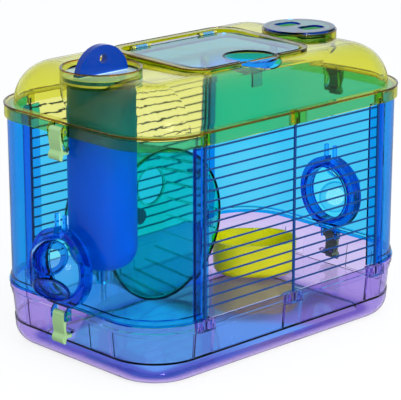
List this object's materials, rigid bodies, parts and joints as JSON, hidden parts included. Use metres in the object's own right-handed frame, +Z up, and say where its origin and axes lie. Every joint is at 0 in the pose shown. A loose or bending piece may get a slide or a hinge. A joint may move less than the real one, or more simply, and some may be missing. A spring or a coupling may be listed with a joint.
{
  "type": "portable small animal cage",
  "caption": "Small animal cage with a clear tinted tray, end shells and domed lid, wire grilles, hinged roof door, latches, end ports, running wheel, water bottle and food bowl.",
  "frame": {"origin": "middle of the footprint, on the floor under the tray", "axes": "+X along the front towards the roof port end, +Y from the front grille to the back grille, +Z up"},
  "size_m": [0.487, 0.2718, 0.3385],
  "materials": {
    "tray_purple": "clear tinted",
    "shell_blue": "clear tinted",
    "lid_yellow": "clear tinted",
    "door_blue": "clear tinted",
    "bottle_blue": "opaque gloss",
    "seal_rubber": "matt",
    "neck_clear": "clear",
    "plug_blue": "clear tinted",
    "bubble_blue": "clear tinted",
    "ring_blue": "clear tinted",
    "latch_green": "opaque gloss",
    "wheel_teal": "clear tinted",
    "wheel_dark": "opaque gloss",
    "bowl_yellow": "opaque gloss",
    "grille_navy": "coated wire",
    "steel": "bright"
  },
  "bodies": {
    "cage": {"base_tray": "tray_purple", "left_end_shell": "shell_blue", "right_end_shell": "shell_blue", "front_grille": "grille_navy", "back_grille": "grille_navy", "dome_lid": "lid_yellow", "door_pin": "steel", "upper_left_pin": "steel", "upper_right_pin": "steel", "lower_left_pin": "steel", "lower_right_pin": "steel", "wheel_bracket": "wheel_dark", "wheel_cap": "wheel_dark"},
    "door": {"top_door": "door_blue"},
    "bottle": {"bottle_body": "bottle_blue", "bottle_seal": "seal_rubber", "bottle_neck": "neck_clear", "sipper_tube": "steel", "sipper_ball": "steel"},
    "roof_plug": {"port_plug": "plug_blue"},
    "left_port": {"left_bubble": "bubble_blue", "left_lock_ring": "ring_blue"},
    "right_port": {"right_bubble": "bubble_blue", "right_lock_ring": "ring_blue"},
    "upper_left": {"upper_left_latch": "latch_green"},
    "upper_right": {"upper_right_latch": "latch_green"},
    "lower_left": {"lower_left_latch": "latch_green"},
    "lower_right": {"lower_right_latch": "latch_green"},
    "wheel": {"exercise_wheel": "wheel_teal"},
    "bowl": {"food_bowl": "bowl_yellow"}
  },
  "joints": [
    {"name": "door_hinge", "type": "hinge", "parent": "cage", "child": "door", "pos_m": [0, 0.048, 0.3139], "axis": [-1, 0, 0], "range_deg": [0, 105]},
    {"name": "upper_left_latch_hinge", "type": "hinge", "parent": "cage", "child": "upper_left", "pos_m": [-0.208, 0, 0.258], "axis": [0, 1, 0], "range_deg": [0, 75]},
    {"name": "upper_right_latch_hinge", "type": "hinge", "parent": "cage", "child": "upper_right", "pos_m": [0.208, 0, 0.258], "axis": [0, -1, 0], "range_deg": [0, 75]},
    {"name": "lower_left_latch_hinge", "type": "hinge", "parent": "cage", "child": "lower_left", "pos_m": [-0.208, 0, 0.06], "axis": [0, 1, 0], "range_deg": [0, 75]},
    {"name": "lower_right_latch_hinge", "type": "hinge", "parent": "cage", "child": "lower_right", "pos_m": [0.208, 0, 0.06], "axis": [0, -1, 0], "range_deg": [0, 75]},
    {"name": "wheel_spin", "type": "hinge", "parent": "cage", "child": "wheel", "pos_m": [-0.0345, 0.09, 0.1155], "axis": [0, 1, 0], "continuous": true},
    {"name": "bottle_lift", "type": "slide", "parent": "cage", "child": "bottle", "axis": [0, 0, 1], "range_m": [0, 0.26]},
    {"name": "plug_lift", "type": "slide", "parent": "cage", "child": "roof_plug", "axis": [0, 0, 1], "range_m": [0, 0.06]},
    {"name": "left_port_pull", "type": "slide", "parent": "cage", "child": "left_port", "axis": [-1, 0, 0], "range_m": [0, 0.06]},
    {"name": "right_port_pull", "type": "slide", "parent": "cage", "child": "right_port", "axis": [1, 0, 0], "range_m": [0, 0.06]},
    {"name": "bowl_lift", "type": "slide", "parent": "cage", "child": "bowl", "axis": [0, 0, 1], "range_m": [0, 0.12]}
  ]
}
